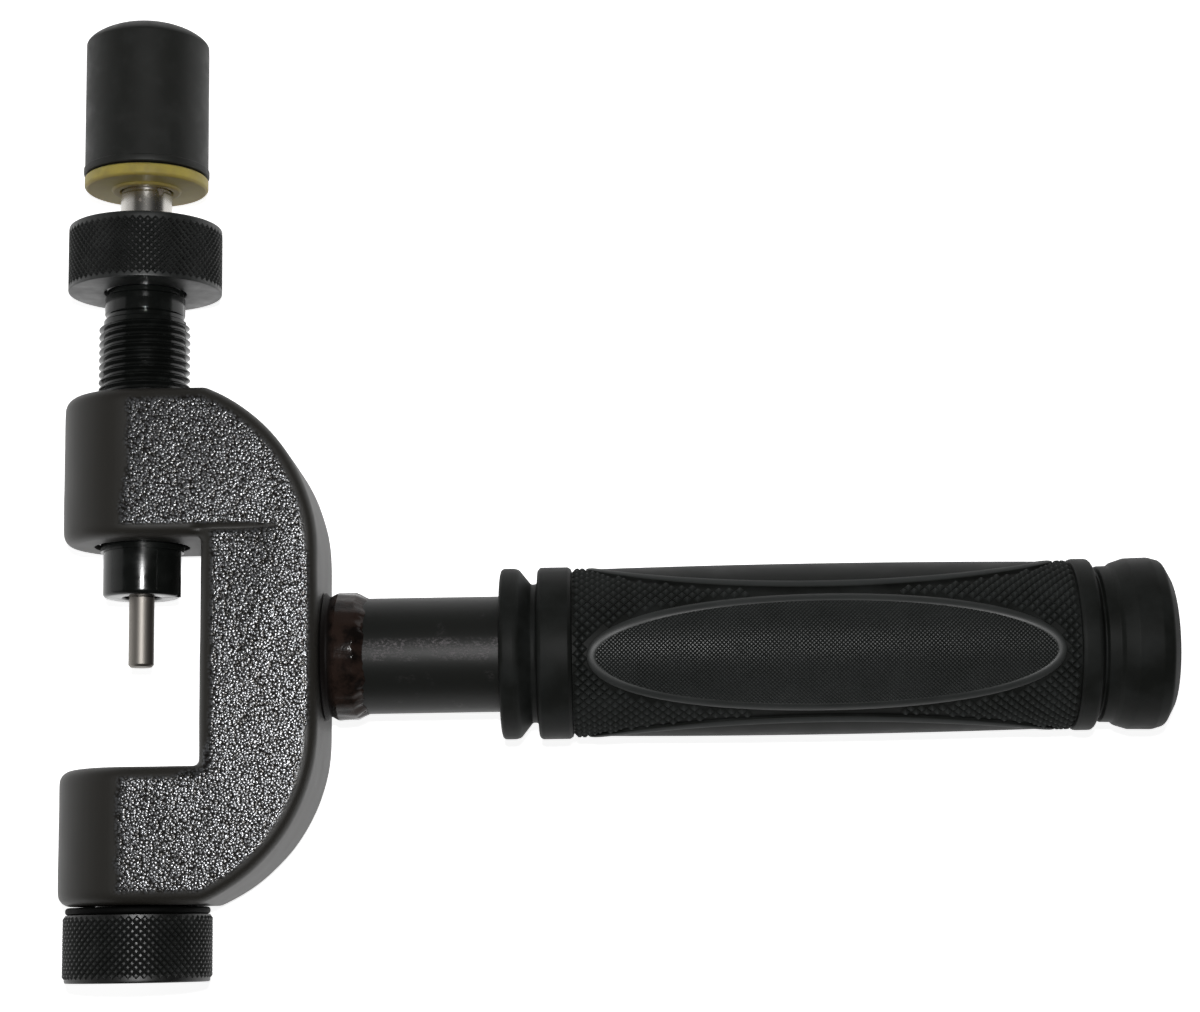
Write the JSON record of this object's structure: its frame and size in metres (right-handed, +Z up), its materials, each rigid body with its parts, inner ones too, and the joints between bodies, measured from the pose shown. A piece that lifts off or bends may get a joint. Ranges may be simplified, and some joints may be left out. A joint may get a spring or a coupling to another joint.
{
  "type": "motorcycle chain breaker",
  "caption": "Hammer-type chain tool: C frame on a rubber-gripped handle, knurled hollow clamp screw, capped striking plunger with push pin, and a knurled screw-in anvil.",
  "frame": {"origin": "middle of the footprint of the tool lying on its side, on the surface that it lies on", "axes": "+X along the handle from the frame to the grip's end, +Y along the spindle from the anvil to the striking cap, +Z up through the frame's thickness"},
  "size_m": [0.2126, 0.1884, 0.0334],
  "materials": {
    "hammered_paint": "dark brown-black hammered paint, glossy",
    "gloss_black_paint": "gloss black paint",
    "grip_rubber": "black moulded rubber, satin",
    "seal_rubber": "black nitrile rubber",
    "black_oxide": "black oxide steel, oiled",
    "bright_steel": "turned steel with rust stains",
    "pin_steel": "hardened steel, straw tint",
    "cap_black": "matte black steel",
    "urethane": "yellow translucent urethane"
  },
  "bodies": {
    "frame": {"c_frame": "hammered_paint", "handle_weld": "gloss_black_paint", "handle_tube": "gloss_black_paint", "handle_grip": "grip_rubber"},
    "clamp_carrier": {"rod_seal": "seal_rubber"},
    "clamp_screw": {"clamp_screw": "black_oxide", "clamp_knob": "black_oxide"},
    "plunger": {"plunger_rod": "bright_steel", "pin_holder": "black_oxide", "push_pin": "pin_steel", "striking_cap": "cap_black", "bumper_washer": "urethane"},
    "anvil_carrier": {"anvil_ring": "gloss_black_paint"},
    "anvil": {"anvil_screw": "black_oxide", "anvil_insert": "pin_steel", "anvil_knob": "black_oxide"}
  },
  "joints": [
    {"name": "clamp_feed", "type": "slide", "parent": "frame", "child": "clamp_carrier", "axis": [0, -1, 0], "range_m": [-0.0098, 0.0201]},
    {"name": "clamp_turn", "type": "hinge", "parent": "clamp_carrier", "child": "clamp_screw", "pos_m": [-0.09115, 0, 0.0167], "axis": [0, -1, 0], "range_deg": [-2340, 4800]},
    {"name": "plunger_stroke", "type": "slide", "parent": "clamp_carrier", "child": "plunger", "axis": [0, -1, 0], "range_m": [-0.015, 0.0073]},
    {"name": "anvil_feed", "type": "slide", "parent": "frame", "child": "anvil_carrier", "axis": [0, 1, 0], "range_m": [-0.0121, 0.0001]},
    {"name": "anvil_turn", "type": "hinge", "parent": "anvil_carrier", "child": "anvil", "pos_m": [-0.09115, -0.09, 0.0167], "axis": [0, 1, 0], "range_deg": [-2880, 0]}
  ],
  "couplings": [
    {"joint": "clamp_feed", "follows": "clamp_turn", "m_per_rad": 0.00023873},
    {"joint": "anvil_feed", "follows": "anvil_turn", "m_per_rad": 0.00023873}
  ]
}
